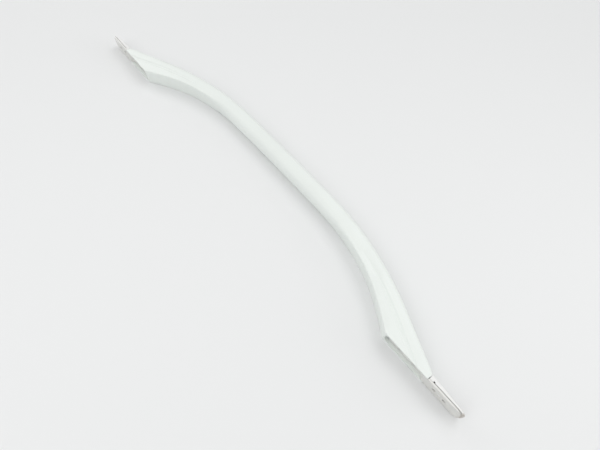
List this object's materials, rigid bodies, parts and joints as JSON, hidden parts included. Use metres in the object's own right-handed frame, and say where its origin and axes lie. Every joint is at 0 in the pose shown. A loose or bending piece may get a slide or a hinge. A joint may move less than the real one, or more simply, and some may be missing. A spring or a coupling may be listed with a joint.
{
  "type": "appliance door handle",
  "caption": "White bowed appliance door handle with a straight grip, sloping grooved feet and slim end tabs that cover its screw plates.",
  "frame": {"origin": "on the door plane, midway between the two ends, in the middle of the pattern of door screw holes", "axes": "+X along the handle, +Y straight away from the door, +Z across the grip. The stored row lies on the flank that faces -Z"},
  "size_m": [0.706, 0.07, 0.022],
  "materials": {
    "grip": "satin moulded white",
    "cover": "satin moulded white",
    "plate": "white powder coat on steel strip",
    "screw": "zinc plated"
  },
  "bodies": {
    "root": {"grip_body": "grip", "mounting_plate_left": "plate", "mounting_plate_right": "plate", "plate_screw_left_inner": "screw", "plate_screw_left_outer": "screw", "plate_screw_right_inner": "screw", "plate_screw_right_outer": "screw", "tab_cover_left": "cover", "tab_cover_right": "cover"}
  },
  "joints": []
}
